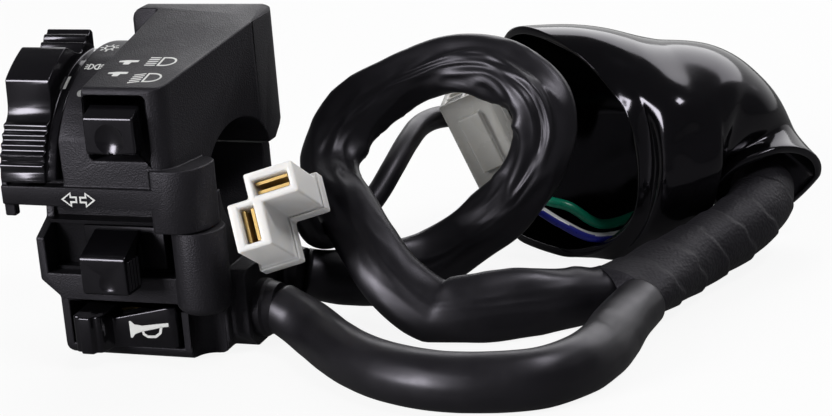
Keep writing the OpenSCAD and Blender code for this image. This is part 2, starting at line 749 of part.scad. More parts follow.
// Horn
module horn_lever() color("#111112") {
    plan = rounded([
        [horn_pivot[0] + horn_barrel_r, horn_plate_front, 1.5], [-1.6, horn_plate_front - 0.8, 0.4],
        [-2.6, -horn_reach, 0.8], [-3.8, -horn_reach, 0.4], [-4.2, -horn_reach - 1, 0.4],
        [-6.8, -horn_reach - 1, 0.4], [-7.2, -horn_reach, 0.4], [horn_left + 0.6, -horn_reach, 0.8],
        [horn_left, horn_rear, 0.4], [horn_pivot[0] - 4, horn_rear, 1],
        [horn_pivot[0] + horn_barrel_r, horn_rear + 1.2, 1.5]
    ]);
    front = [
        [horn_left - 1, horn_bottom], [horn_pivot[0] + 4, horn_bottom], [horn_pivot[0] + 4, horn_top],
        [horn_pivot[0], horn_top], [-1.5, horn_top - 2.4], [-2.2, horn_top - 0.8], [horn_left - 1,
            horn_top - 0.8]
    ];
    difference() {
        intersection() {
            along_z(horn_bottom, horn_top) polygon(plan);
            along_y(-horn_reach - 2, horn_rear + 2) polygon(front);
        }
        translate([horn_pivot[0], horn_pivot[1], horn_bottom - 1]) cylinder(h = horn_h + 2,
            r = horn_pin_r + run_gap);
    }
}
module horn_pin() color("#b8b8bd") {
    translate([horn_pivot[0], horn_pivot[1], horn_floor - 1]) cylinder(h = horn_h + 5, r = horn_pin_r);
}
module horn_leaf() color("#c49a45") {
    bend = [[6.5, horn_base_front], [3, horn_base_front], [-5, horn_rear + free_gap + leaf_t], [-7.5,
        horn_rear + free_gap + leaf_t]];
    along_z(horn_bottom + 2, horn_top - 2.5) polygon(concat(bend, [for (i = [3:-1:0]) bend[i] - [0,
        leaf_t]]));
}
module horn_base() color("#6b4a2a") {
    difference() {
        span([horn_left_wall, horn_base_front, horn_bottom], [horn_right_wall, horn_base_front
            + horn_base_t, horn_top]);
        translate([-6, horn_base_front - 1, horn_bottom + 4]) rotate([-90, 0, 0])
            cylinder(h = horn_base_t + 2, r = stud_r);
    }
}
module horn_contact() color("#c49a45") {
    translate([-6, horn_base_front - 0.8, horn_bottom + 4]) rotate([-90, 0, 0])
        cylinder(h = horn_base_t + 0.8, r = stud_r);
}

// Loom
module gland(at) {
    translate([gland_base_x, at[0], at[1]]) rotate([0, 90, 0]) rotate_extrude() polygon([
        [0, 0], [gland_r, 0], [gland_r, wall], [gland_collar_r, wall], [gland_collar_r, wall
            + gland_collar_w],
        [sleeve_r + 0.4, wall + gland_collar_w + 0.6], [sleeve_r, gland_tip_x - gland_base_x],
        [0, gland_tip_x - gland_base_x]
    ]);
}
module front_gland() color("#161617") gland(front_outlet);
module rear_gland() color("#161617") gland(rear_outlet);
module front_sleeve() color("#151516") tube(front_route, sleeve_d);
module rear_sleeve() color("#151516") tube(rear_route, sleeve_d);
module tape_wrap() color("#1f1e20") {
    p = mid_points(tape_spine);
    half = mid_points(tape_half);
    t = tangents(p);
    up = normals(t);
    sweep([for (i = [0:len(p) - 1]) ring(p[i], up[i], t[i], half[i][0], half[i][1], 12)], 12);
}
module plug_lead() color("#141415") tube(lead_route, lead_d, 8);
module green_wire() color("#0f8f6a") tube(green_route, wire_d, 8);
module blue_wire() color("#24308f") tube(blue_route, wire_d, 8);
// Section of the boot: round above, slumped on the floor below, and cut back at the front of its mouth
function run_to(p, i) = i == 0 ? 0 : run_to(p, i - 1) + norm(p[i] - p[i - 1]);
function above(p, z) = [p[0], p[1], max(p[2], z)];
function bag_ring(c, n, t, rn, rb, run, low) =
    let (b = cross(t, n), fade = max(0, 1 - run / boot_slant_run), tuck = boot_tuck * (1 - fade))
    [
        for (k = [0:boot_sides - 1])
            let (
                u = cos(360 * k / boot_sides),
                v = sin(360 * k / boot_sides),
                high = u < 0 ? -pow(-u, 0.7) : u,
                wide = u < 0 ? sign(v) * pow(abs(v), 0.8) * (1 + tuck * high) : v,
                slant = fade * (boot_slant * pow((1 + wide) / 2, 2) - boot_slant_back)
            )
            above(c + n * rn * high + b * rb * wide + t * slant, low)
    ];
module rubber_boot() color("#080808") {
    p = mid_points(boot_spine);
    half = mid_points(boot_half);
    t = tangents(p);
    n = len(p);
    up = [for (i = [0:n - 1]) square_to([0, 0, 1], t[i])];
    outer = [
        for (i = [0:n - 1])
            bag_ring(p[i], up[i], t[i], half[i][0], half[i][1], run_to(p, i), floor_z)
    ];
    inner = [
        for (i = [n - 1:-1:0])
            bag_ring(
                p[i], up[i], t[i], half[i][0] - boot_wall, half[i][1] - boot_wall, run_to(p, i),
                floor_z + boot_wall
            )
    ];
    loops = concat(outer, inner);
    m = len(loops);
    polyhedron([for (r = loops) each r], [
        for (i = [0:m - 1]) for (k = [0:boot_sides - 1])
            let (
                a = i * boot_sides + k,
                b = i * boot_sides + (k + 1) % boot_sides,
                c = (i + 1) % m * boot_sides + (k + 1) % boot_sides,
                d = (i + 1) % m * boot_sides + k
            )
            each [[a, b, c], [a, c, d]]
    ], convexity = 10);
}

// Two-way plug housing: two blade cells set square to each other
module plug_outline(grow) {
    translate([-grow, -plug_cell_h - grow]) square([blade_w + 2.9 + 2 * grow, plug_cell_h + 2 * grow]);
    translate([-4.6 - grow, -15 - grow]) square([plug_cell_h + 0.9 + 2 * grow, 10 + 2 * grow]);
}
flat_slot_mid = [(blade_w + 2.9) / 2, -plug_cell_h / 2];
tall_slot_mid = [-4.6 + (plug_cell_h + 0.9) / 2, -10];
module plug_place() {
    translate(plug_at) rotate(plug_turn) children();
}
module slot_bar(mid, w, h, from, to) {
    translate([mid[0] - w / 2, from, mid[1] - h / 2]) cube([w, to - from, h]);
}
module two_way_plug() color("#e9e6df") plug_place() difference() {
    union() {
        along_y(0, plug_len) plug_outline(0);
        along_y(plug_len - plug_rim_w, plug_len) plug_outline(plug_rim);
    }
    slot_bar(flat_slot_mid, blade_w, blade_t * 2, -1, blade_len + blade_recess);
    slot_bar(tall_slot_mid, blade_t * 2, blade_w, -1, blade_len + blade_recess);
}
module two_way_blades() color("#c49a45") plug_place() {
    for (side = [-1, 1]) {
        slot_bar(flat_slot_mid + [0, 0.9 * side], blade_w - 0.8, 0.6, blade_recess, blade_recess
            + blade_len);
        slot_bar(tall_slot_mid + [0.9 * side, 0], 0.6, blade_w - 0.8, blade_recess, blade_recess
            + blade_len);
    }
}

// Multi-way plug housing with a grid of cells, open at its upper end
multi_w = multi_cols * multi_pitch + 2 * multi_skin;
multi_d = multi_rows * multi_pitch + 2 * multi_skin;
multi_cells = [
    for (i = [0:multi_cols - 1], j = [0:multi_rows - 1])
        multi_pitch * [i - (multi_cols - 1) / 2, j - (multi_rows - 1) / 2]
];
module multi_place() {
    translate(multi_at) rotate(multi_turn) children();
}
module multi_plug() color("#a9a39a") multi_place() difference() {
    union() {
        along_z(-multi_len / 2, multi_len / 2) polygon(box_outline(-multi_w / 2, -multi_d / 2,
            multi_w / 2, multi_d / 2, 0.8));
        span([-2.5, -multi_d / 2 - 1.6, -4], [2.5, -multi_d / 2 + 0.5, 9]);
    }
    for (c = multi_cells)
        translate([c[0], c[1], multi_len / 2 - multi_cell_depth]) linear_extrude(multi_cell_depth + 1)
            square(multi_pitch - multi_skin, center = true);
}
module multi_blades() color("#c49a45") multi_place() {
    for (c = multi_cells)
        translate([c[0], c[1], multi_len / 2 - multi_cell_depth]) linear_extrude(multi_cell_depth - 2)
            square([2.6, 0.8], center = true);
}

upper_housing();
lower_housing();
clamp_screws();
light_knob();
light_contacts();
detent_ball();
detent_spring();
dimmer_button();
dimmer_spring();
dimmer_base();
dimmer_contacts();
turn_cap();
turn_carrier();
turn_shoe();
turn_base();
turn_contacts();
horn_lever();
horn_pin();
horn_leaf();
horn_base();
horn_contact();
front_gland();
rear_gland();
front_sleeve();
rear_sleeve();
tape_wrap();
rubber_boot();
plug_lead();
two_way_plug();
two_way_blades();
multi_plug();
multi_blades();
green_wire();
blue_wire();
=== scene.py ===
# %% [markdown]
# # Dressing a handlebar switch cluster
# The CAD model gives every solid its place and its joint. This lesson gives the same object its looks:
# crumpled sleeves, a wrapped tape joint, a glossy rubber boot, moulded housings with rounded edges,
# printed symbols and the plug housings. All lengths below are in millimetres in the CAD frame and are
# turned into metres only when a point goes into a mesh.

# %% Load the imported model
import json
import math

import bmesh
import bpy
from mathutils import Matrix, Vector, noise
from mathutils.bvhtree import BVHTree

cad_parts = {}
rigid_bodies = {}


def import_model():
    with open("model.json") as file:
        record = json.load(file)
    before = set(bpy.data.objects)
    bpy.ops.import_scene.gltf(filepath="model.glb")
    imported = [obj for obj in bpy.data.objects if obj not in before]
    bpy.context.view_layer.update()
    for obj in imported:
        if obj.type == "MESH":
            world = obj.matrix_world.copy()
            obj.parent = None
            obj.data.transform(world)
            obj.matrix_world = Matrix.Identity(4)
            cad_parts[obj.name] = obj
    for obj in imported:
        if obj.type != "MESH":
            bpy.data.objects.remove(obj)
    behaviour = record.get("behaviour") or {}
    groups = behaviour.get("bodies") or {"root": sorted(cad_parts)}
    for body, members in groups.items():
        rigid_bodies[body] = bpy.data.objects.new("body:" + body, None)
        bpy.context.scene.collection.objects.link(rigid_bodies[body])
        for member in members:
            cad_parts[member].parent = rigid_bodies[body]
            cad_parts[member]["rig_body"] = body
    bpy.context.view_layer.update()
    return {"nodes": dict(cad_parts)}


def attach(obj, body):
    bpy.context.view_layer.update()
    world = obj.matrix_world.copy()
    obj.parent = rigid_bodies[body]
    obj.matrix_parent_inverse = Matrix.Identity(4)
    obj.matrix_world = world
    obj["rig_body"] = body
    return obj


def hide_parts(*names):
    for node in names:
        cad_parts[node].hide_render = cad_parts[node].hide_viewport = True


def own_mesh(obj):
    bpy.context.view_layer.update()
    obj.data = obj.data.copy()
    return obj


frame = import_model()
MM = 0.001

# %% [markdown]
# ## Camera
# The picture was taken from the front right and a little above, with the camera tipped by a few degrees.
# A camera could be placed by eye, but the bore of the clamp has a known size, so the angles, the distance
# and the lens below were solved from it and hold for the whole picture.

# %% Camera
LOOK_AT = Vector((52.46, 15.59, -11.95)) * MM
TURN, RISE, TIP = math.radians(20.5), math.radians(17.5), math.radians(-4.5)
DISTANCE, SENSOR, LENS = 0.45, 36.0, 93.46
camera = bpy.data.objects.new("photo_camera", bpy.data.cameras.new("photo_camera"))
camera.data.sensor_width = SENSOR
camera.data.lens = LENS
facing = Matrix.Rotation(TURN, 4, "Z") @ Matrix.Rotation(math.pi / 2 - RISE, 4, "X")
facing = facing @ Matrix.Rotation(TIP, 4, "Z")
camera.matrix_world = Matrix.Translation(LOOK_AT) @ facing @ Matrix.Translation((0, 0, DISTANCE))
camera.data.clip_start = 0.01
bpy.context.scene.collection.objects.link(camera)
bpy.context.scene.camera = camera
bpy.context.scene.view_settings.view_transform = "Standard"
print("camera at", [round(x, 4) for x in camera.matrix_world.translation])

# %% [markdown]
# ## Shader helpers
# Every finish is a Principled shader with a few texture nodes in front of it. Effects that several
# finishes share, such as moulded grain or handling smudges, are node groups: built once, then placed in
# each material with their own values.

# %% Shader helpers
def add_node(tree, kind, **values):
    node = tree.nodes.new(kind)
    for key, value in values.items():
        if key in node.inputs:
            node.inputs[key].default_value = value
        else:
            setattr(node, key, value)
    return node


def new_group(name, ins, outs):
    group = bpy.data.node_groups.new(name, "ShaderNodeTree")
    for label, kind, value in ins:
        socket = group.interface.new_socket(label, in_out="INPUT", socket_type=kind)
        if kind != "NodeSocketVector":
            socket.default_value = value
    for label, kind in outs:
        group.interface.new_socket(label, in_out="OUTPUT", socket_type=kind)
    return group, group.nodes.new("NodeGroupInput"), group.nodes.new("NodeGroupOutput")


def new_finish(name):
    finish = bpy.data.materials.new(name)
    finish.use_nodes = True
    tree = finish.node_tree
    place = add_node(tree, "ShaderNodeTexCoord")
    return finish, tree, tree.nodes["Principled BSDF"], place.outputs["Object"]


def place_group(tree, group, coords, **values):
    node = tree.nodes.new("ShaderNodeGroup")
    node.node_tree = group
    tree.links.new(coords, node.inputs["Place"])
    for key, value in values.items():
        node.inputs[key].default_value = value
    return node


# Sockets of a Mix node that mixes colours
TONE_A, TONE_B, TONE_OUT = 6, 7, 2


def two_tones(tree, shader, share, dark, light):
    """Gives the shader a colour that goes from dark to light with the share."""
    shade = add_node(tree, "ShaderNodeMix", data_type="RGBA")
    shade.inputs[TONE_A].default_value = (*dark, 1.0)
    shade.inputs[TONE_B].default_value = (*light, 1.0)
    tree.links.new(share, shade.inputs[0])
    tree.links.new(shade.outputs[TONE_OUT], shader.inputs["Base Color"])


# %% [markdown]
# ## Shared effects
# Moulded grain is the fine etched texture of the tool: small rounded cells. Smudges are the broad, faint
# changes of gloss that fingers leave. Each could be painted as a picture, but a procedural pattern on
# Object coordinates has no seams and needs no file.

# %% Shared effects
FLOAT, VECTOR = "NodeSocketFloat", "NodeSocketVector"

grain, head, tail = new_group(
    "moulded_grain",
    [("Place", VECTOR, None), ("Cells", FLOAT, 2600.0)],
    [("Height", FLOAT), ("Patch", FLOAT)],
)
cells = add_node(grain, "ShaderNodeTexVoronoi", feature="SMOOTH_F1")
cells.inputs["Smoothness"].default_value = 0.6
patch = add_node(grain, "ShaderNodeTexNoise", Scale=60.0, Detail=4.0)
grain.links.new(head.outputs["Place"], cells.inputs["Vector"])
grain.links.new(head.outputs["Cells"], cells.inputs["Scale"])
grain.links.new(head.outputs["Place"], patch.inputs["Vector"])
grain.links.new(cells.outputs["Distance"], tail.inputs["Height"])
grain.links.new(patch.outputs["Fac"], tail.inputs["Patch"])

smudge, head, tail = new_group(
    "handling_smudges",
    [("Place", VECTOR, None), ("Size", FLOAT, 90.0), ("Low", FLOAT, 0.1), ("High", FLOAT, 0.3)],
    [("Roughness", FLOAT), ("Wave", FLOAT)],
)
broad = add_node(smudge, "ShaderNodeTexNoise", Detail=5.0, Roughness=0.6)
spread = add_node(smudge, "ShaderNodeMapRange")
spread.inputs["From Min"].default_value = 0.3
spread.inputs["From Max"].default_value = 0.75
ripple = add_node(smudge, "ShaderNodeTexNoise", Scale=45.0, Detail=1.0)
smudge.links.new(head.outputs["Place"], broad.inputs["Vector"])
smudge.links.new(head.outputs["Size"], broad.inputs["Scale"])
smudge.links.new(broad.outputs["Fac"], spread.inputs["Value"])
smudge.links.new(head.outputs["Low"], spread.inputs["To Min"])
smudge.links.new(head.outputs["High"], spread.inputs["To Max"])
smudge.links.new(head.outputs["Place"], ripple.inputs["Vector"])
smudge.links.new(spread.outputs["Result"], tail.inputs["Roughness"])
smudge.links.new(ripple.outputs["Fac"], tail.inputs["Wave"])
print("shared effects:", [g.name for g in bpy.data.node_groups])


# %% [markdown]
# ## Black finishes
# Almost everything here is black, so the finishes differ by gloss and by relief. The housings are matt
# and grained, the knob and buttons polished, the sleeves are soft shiny vinyl, the tape is dull and the
# boot is wet-looking rubber.

# %% Black finishes
VIOLET_SHEEN, WHITE_SHEEN = (0.92, 0.88, 1.0, 1.0), (1.0, 1.0, 1.0, 1.0)
PLAIN_CELLS = 900.0


def black_finish(name, dark, light, low, high, bump, distance, cells=0.0, size=90.0, shine=0.5):
    """Two tones, least and most roughness, relief, grain (0 gives a soft wave), smudges and gloss."""
    finish, tree, shader, coords = new_finish(name)
    gloss = place_group(tree, smudge, coords, Size=size, Low=low, High=high)
    texture = place_group(tree, grain, coords, Cells=cells or PLAIN_CELLS)
    two_tones(tree, shader, texture.outputs["Patch"], dark, light)
    relief = add_node(tree, "ShaderNodeBump", Strength=bump, Distance=distance)
    tree.links.new(gloss.outputs["Roughness"], shader.inputs["Roughness"])
    tree.links.new(texture.outputs["Height"] if cells else gloss.outputs["Wave"], relief.inputs["Height"])
    tree.links.new(relief.outputs["Normal"], shader.inputs["Normal"])
    shader.inputs["Specular IOR Level"].default_value = shine
    shader.inputs["Specular Tint"].default_value = VIOLET_SHEEN
    return finish


def black(tone):
    """A black of the given tone, with the slight violet cast of carbon-filled plastic."""
    return (tone, 0.94 * tone, 1.16 * tone)


housing_black = black_finish(
    "housing_black", black(0.004), black(0.008), 0.46, 0.62, 0.4, 0.00016, cells=3400.0, shine=0.36)
polished_black = black_finish("polished_black", black(0.002), black(0.004), 0.12, 0.24, 0.05, 0.001)
vinyl_black = black_finish(
    "vinyl_black", black(0.004), black(0.007), 0.32, 0.46, 0.12, 0.001, size=160.0, shine=0.46)
tape_black = black_finish(
    "tape_black", black(0.006), black(0.011), 0.46, 0.64, 0.45, 0.0002, cells=1500.0, shine=0.3)
rubber_black = black_finish("rubber_black", black(0.001), black(0.002), 0.08, 0.18, 0.05, 0.002, shine=0.45)
print("black finishes ready")

# %% [markdown]
# ## Floor, backdrop and light
# The picture stands on pure white, as a studio cut-out does. A white floor alone would need very strong
# lamps to look white, so the floor and the world show white to the camera and keep their own plain tone
# for the light that they throw on the object. Polished parts mirror a darker floor, so black stays black.

# %% Floor
FLOOR = -35.0
FLOOR_SIZE, FLOOR_DROP, FLOOR_TONE = 3.0, 0.0002, 0.75
SHOWN_WHITE, MIRROR_SHARE, MIRROR_GLARE = 0.9, 0.85, 0.06
bm = bmesh.new()
bmesh.ops.create_grid(bm, x_segments=1, y_segments=1, size=FLOOR_SIZE)
bmesh.ops.translate(bm, verts=bm.verts, vec=(0, 0, FLOOR * MM - FLOOR_DROP))
floor_mesh = bpy.data.meshes.new("floor")
bm.to_mesh(floor_mesh)
bm.free()
floor = bpy.data.objects.new("floor", floor_mesh)
bpy.context.scene.collection.objects.link(floor)
paper, tree, shader, coords = new_finish("white_paper")
fibre = add_node(tree, "ShaderNodeTexNoise", Scale=400.0)
tone = add_node(tree, "ShaderNodeMapRange")
tone.inputs["To Min"].default_value = 0.55
tone.inputs["To Max"].default_value = 0.65
shader.inputs["Base Color"].default_value = (FLOOR_TONE, FLOOR_TONE, FLOOR_TONE, 1.0)
tree.links.new(coords, fibre.inputs["Vector"])
tree.links.new(fibre.outputs["Fac"], tone.inputs["Value"])
tree.links.new(tone.outputs["Result"], shader.inputs["Roughness"])
seen = add_node(tree, "ShaderNodeLightPath")
white = add_node(tree, "ShaderNodeEmission")
direct = add_node(tree, "ShaderNodeMath", operation="MULTIPLY")
direct.inputs[1].default_value = SHOWN_WHITE
mirrored = add_node(tree, "ShaderNodeMath", operation="MULTIPLY_ADD")
mirrored.inputs[1].default_value = MIRROR_SHARE
glare = add_node(tree, "ShaderNodeMapRange")
glare.inputs["To Min"].default_value = MIRROR_GLARE
blend = add_node(tree, "ShaderNodeMixShader")
tree.links.new(seen.outputs["Is Camera Ray"], glare.inputs["Value"])
tree.links.new(glare.outputs["Result"], white.inputs["Strength"])
tree.links.new(seen.outputs["Is Camera Ray"], direct.inputs[0])
tree.links.new(seen.outputs["Is Glossy Ray"], mirrored.inputs[0])
tree.links.new(direct.outputs[0], mirrored.inputs[2])
tree.links.new(mirrored.outputs[0], blend.inputs[0])
tree.links.new(shader.outputs[0], blend.inputs[1])
tree.links.new(white.outputs[0], blend.inputs[2])
tree.links.new(blend.outputs[0], tree.nodes["Material Output"].inputs["Surface"])
floor_mesh.materials.append(paper)
print("floor at", FLOOR, "mm")

# %% Backdrop
SKY_TONE = (0.1, 0.1, 0.104, 1.0)
BACKDROP_FROM, BACKDROP_TO = 0.5, 0.95
world = bpy.data.worlds.new("studio")
bpy.context.scene.world = world
world.use_nodes = True
tree = world.node_tree
sky = tree.nodes["Background"]
sky.inputs["Color"].default_value = SKY_TONE
sky.inputs["Strength"].default_value = 1.0
paper_white = add_node(tree, "ShaderNodeBackground", Color=(1, 1, 1, 1), Strength=1.0)
way = add_node(tree, "ShaderNodeTexCoord")
split = add_node(tree, "ShaderNodeSeparateXYZ")
behind = add_node(tree, "ShaderNodeMapRange")
behind.inputs["From Min"].default_value = BACKDROP_FROM
behind.inputs["From Max"].default_value = BACKDROP_TO
mask = add_node(tree, "ShaderNodeMath", operation="MULTIPLY")
seen = add_node(tree, "ShaderNodeLightPath")
either = add_node(tree, "ShaderNodeMath", operation="MAXIMUM")
blend = add_node(tree, "ShaderNodeMixShader")
tree.links.new(way.outputs["Generated"], split.inputs[0])
tree.links.new(split.outputs["Y"], behind.inputs["Value"])
tree.links.new(behind.outputs["Result"], mask.inputs[0])
tree.links.new(seen.outputs["Is Glossy Ray"], mask.inputs[1])
tree.links.new(seen.outputs["Is Camera Ray"], either.inputs[0])
tree.links.new(mask.outputs[0], either.inputs[1])
tree.links.new(either.outputs[0], blend.inputs[0])
tree.links.new(sky.outputs[0], blend.inputs[1])
tree.links.new(paper_white.outputs[0], blend.inputs[2])
tree.links.new(blend.outputs[0], tree.nodes["World Output"].inputs["Surface"])
print("backdrop white to the camera")


# %% Lamps
def softbox(name, at, size, power):
    """A rectangular lamp at a point in metres, aimed at the object."""
    lamp = bpy.data.objects.new(name, bpy.data.lights.new(name, "AREA"))
    lamp.data.shape = "RECTANGLE"
    lamp.data.size, lamp.data.size_y = size
    lamp.data.energy = power
    aim = LOOK_AT - Vector(at)
    lamp.matrix_world = Matrix.Translation(at) @ aim.to_track_quat("-Z", "Y").to_matrix().to_4x4()
    bpy.context.scene.collection.objects.link(lamp)


softbox("key_box", (-0.52, -0.74, 0.3), (0.34, 0.4), 9.5)
softbox("side_box", (0.5, -0.1, 0.72), (0.22, 0.2), 2.6)
softbox("back_box", (0.15, 0.8, 0.62), (1.5, 0.6), 8.0)


# %% [markdown]
# ## Lofted pieces
# Sleeves, tape, boot and wires are all closed sections that follow a line. A curve with a round bevel
# would give plain tubes. Extruding a ring of edges from section to section keeps the same idea and lets
# every section have its own shape, so film can crumple and rubber can sag.

# %% Helpers for lofted pieces
def stations(points, step):
    """Pairs of span number and share of that span, about one step apart along the points."""
    marks = []
    for i in range(len(points) - 1):
        count = max(1, round((Vector(points[i + 1]) - Vector(points[i])).length / step))
        marks += [(i, k / count) for k in range(count)]
    return marks + [(len(points) - 2, 1.0)]


def spline(points, i, t):
    """Catmull-Rom curve: the point at share t of span i."""
    last = len(points) - 1
    a, b, c, d = (Vector(points[min(max(k, 0), last)]) for k in (i - 1, i, i + 1, i + 2))
    return b + 0.5 * t * ((c - a) + t * ((2 * a - 5 * b + 4 * c - d) + t * (3 * b - 3 * c + d - a)))


def travelling_frames(line):
    """Along, up and side directions at each point, carried on without twist."""
    frames = []
    up = Vector((0, 0, 1))
    for i in range(len(line)):
        along = (line[min(i + 1, len(line) - 1)] - line[max(i - 1, 0)]).normalized()
        up = (up - along * up.dot(along)).normalized()
        frames.append((along, up, along.cross(up)))
    return frames


def length_of(line):
    return sum((b - a).length for a, b in zip(line, line[1:]))


def loft(rings, close=True):
    """Extrudes a circle of edges from ring to ring; a ring is a list of points in millimetres."""
    bm = bmesh.new()
    loop = bmesh.ops.create_circle(bm, segments=len(rings[0]), radius=1.0)["verts"]
    first = list(loop)
    edges = list(bm.edges)
    for vert, point in zip(loop, rings[0]):
        vert.co = point * MM
    for ring in rings[1:]:
        made = bmesh.ops.extrude_edge_only(bm, edges=edges)["geom"]
        fresh = {g for g in made if isinstance(g, bmesh.types.BMVert)}
        edges = [g for g in made if isinstance(g, bmesh.types.BMEdge) and all(v in fresh for v in g.verts)]
        loop = [next(e.other_vert(v) for e in v.link_edges if e.other_vert(v) in fresh) for v in loop]
        for vert, point in zip(loop, ring):
            vert.co = point * MM
    if close:
        bm.faces.new(list(reversed(first)))
        bm.faces.new(loop)
    bmesh.ops.recalc_face_normals(bm, faces=bm.faces)
    return bm


def piece(name, bm, finish, body="cluster", replaces=(), smooth=True):
    """Turns a bmesh into a finished piece that rides on a body."""
    mesh = bpy.data.meshes.new(name)
    bm.to_mesh(mesh)
    bm.free()
    for face in mesh.polygons:
        face.use_smooth = smooth
    mesh.materials.append(finish)
    obj = bpy.data.objects.new(name, mesh)
    bpy.context.scene.collection.objects.link(obj)
    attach(obj, body)
    if replaces:
        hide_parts(*replaces)
    return obj


# %% [markdown]
# ## Loom sleeves
# The wires run in loose tubes of black vinyl film, about 10 mm wide. Film can't stretch, so a bent tube
# goes flat and buckles into long facets with sharp ridges between them. Cloth simulation could do this,
# but the picture fixes the route, so the sections are shaped directly: an ellipse of nearly constant
# girth, plus ridged noise that is long along the tube and short around it.

# %% Sleeve routes
SLEEVE = 10.4
LAY = FLOOR + SLEEVE / 2
GLAND_TIP = 29.5
front_route = [
    (GLAND_TIP, -6.5, -27), (34.5, -8.4, -28.8), (40, -12.6, LAY), (46, -19, LAY), (53.5, -25.5, LAY),
    (62, -30.5, LAY), (72, -33.2, LAY), (82, -32.6, LAY), (90.8, -29.4, LAY), (96.4, -22.4, LAY),
    (98.8, -13.6, LAY), (99.2, -4.7, LAY), (99.4, 4.3, LAY), (100.2, 13.3, LAY),
]
rear_route = [
    (GLAND_TIP, 8, -24.5), (34.2, 10.8, -26.2), (39.4, 15.7, -27.8), (44.5, 21.5, -28.5), (50.5, 26.5, -27.5),
    (57, 30, -24), (63.5, 31.5, -19.5), (69.5, 32, -13.5), (74, 32.5, -6.5), (76.2, 33, 0.6),
    (74.4, 34.5, 7), (68.8, 36.5, 11.2), (60.8, 38.5, 13.2), (51.8, 38.5, 12.8), (43.8, 36.5, 10),
    (36.8, 33, 5.6), (32, 29, 0.2), (30.5, 24, -4.8), (33, 18, -8.6), (38.5, 12, -11.8),
    (45, 6.5, -17.8), (52, 2.5, -24.3), (60, 1, -29), (68.5, 2, LAY), (75.5, 5, LAY), (81.8, 9.2, LAY),
    (87, 14.2, LAY), (91.2, 19.8, LAY),
]
# Millimetres along the sleeve, half width of its broad side there, and depth of its creases
front_plan = [
    (0, 5.2, 0), (12, 5.7, 0.012), (60, 5.8, 0.015), (95, 6.0, 0.02), (112, 5.4, 0.01), (125, 5.2, 0),
]
rear_plan = [
    (0, 5.2, 0), (9, 6.0, 0.03), (22, 6.9, 0.04), (45, 6.7, 0.1), (58, 6.3, 0.24), (76, 6.4, 0.3),
    (90, 7.1, 0.25), (105, 7.2, 0.2), (124, 7.0, 0.16), (140, 6.3, 0.12), (160, 6.4, 0.06), (180, 6.8, 0.04),
    (198, 7.4, 0.04), (212, 6.2, 0.03), (219, 5.2, 0),
]
print("sleeve routes:", len(front_route), "and", len(rear_route), "points")

# %% Sections of a film tube
BROAD_SIDE = Vector((0.334, -0.893, 0.301))
# How much thinner a tube gets as it widens, and the thinnest share of its diameter
FLATTEN, FLATTEST = 1.24, 0.36
# Turn of the broad side along the tube, long creases, and the short wrinkles on them
LEAN, LEAN_RUN = 0.35, 34
CREASE_RUN, CREASE_TURN = 24, 1.15
WRINKLE_RUN, WRINKLE_TURN, WRINKLE_SHARE, WRINKLE_SEED = 11, 1.7, 0.6, 7
SETTLE, FLOOR_GAP = 0.2, 0.05


def along_plan(plan, far):
    """Half width and crease depth at a distance along a sleeve."""
    for (start, wide_a, fold_a), (end, wide_b, fold_b) in zip(plan, plan[1:]):
        if far <= end:
            share = (far - start) / (end - start)
            share = share * share * (3 - 2 * share)
            return wide_a + (wide_b - wide_a) * share, fold_a + (fold_b - fold_a) * share
    return plan[-1][1:]


def ridged(x, y, z):
    return 1.0 - 2.0 * abs(noise.noise(Vector((x, y, z))))


def film_rings(route, seed, plan, sides=64, step=0.8):
    """Sections of a film tube: ellipses of about the same girth, lifted so that they lie on the floor."""
    bare = [spline(route, i, t) for i, t in stations(route, step)]
    line, rings = [], []
    far = 0.0
    for n, (centre, (along, up, side)) in enumerate(zip(bare, travelling_frames(bare))):
        far += (centre - bare[max(n - 1, 0)]).length
        wide, fold = along_plan(plan, far)
        thin = 0.5 * SLEEVE * max(FLATTEST, 1.0 - FLATTEN * (2 * wide / SLEEVE - 1.0))
        broad = along.cross(BROAD_SIDE).normalized()
        reach_down = math.hypot(wide * broad.z, thin * along.cross(broad).z)
        centre = centre + Vector((0, 0, max(0.0, FLOOR + reach_down - SETTLE - centre.z)))
        lean = math.atan2(broad.dot(side), broad.dot(up))
        lean += LEAN * noise.noise(Vector((far / LEAN_RUN, seed, 5)))
        ring = []
        for k in range(sides):
            a = 2 * math.pi * k / sides
            c, s = math.cos(a), math.sin(a)
            crease = ridged(far / CREASE_RUN, seed + CREASE_TURN * c, CREASE_TURN * s)
            wrinkle_at = seed + WRINKLE_SEED + WRINKLE_TURN * c
            crease += WRINKLE_SHARE * ridged(far / WRINKLE_RUN, wrinkle_at, WRINKLE_TURN * s)
            reach = wide * thin / math.hypot(thin * math.cos(a - lean), wide * math.sin(a - lean))
            point = centre + (up * c + side * s) * reach * (1.0 + fold * (crease - 1.0))
            point.z = max(point.z, FLOOR + FLOOR_GAP)
            ring.append(point)
        line.append(centre)
        rings.append(ring)
    return line, rings


# %% Sleeves
front_line, rings = film_rings(front_route, 3.0, front_plan)
front_film = piece("front_sleeve_film", loft(rings), vinyl_black, replaces=["front_sleeve"])
rear_line, rings = film_rings(rear_route, 8.0, rear_plan)
rear_film = piece("rear_sleeve_film", loft(rings), vinyl_black, replaces=["rear_sleeve"])
print("sleeves:", round(length_of(front_line), 1), "and", round(length_of(rear_line), 1), "mm")

# %% [markdown]
# ## Tape joint
# Cotton tape binds the two sleeves into one round bundle that goes into the boot. It is wound at a slant,
# each turn half over the last. A bump pattern would stay smooth in outline, so the turns are steps in the
# sections themselves: a saw-tooth that runs round the bundle as it runs along it.

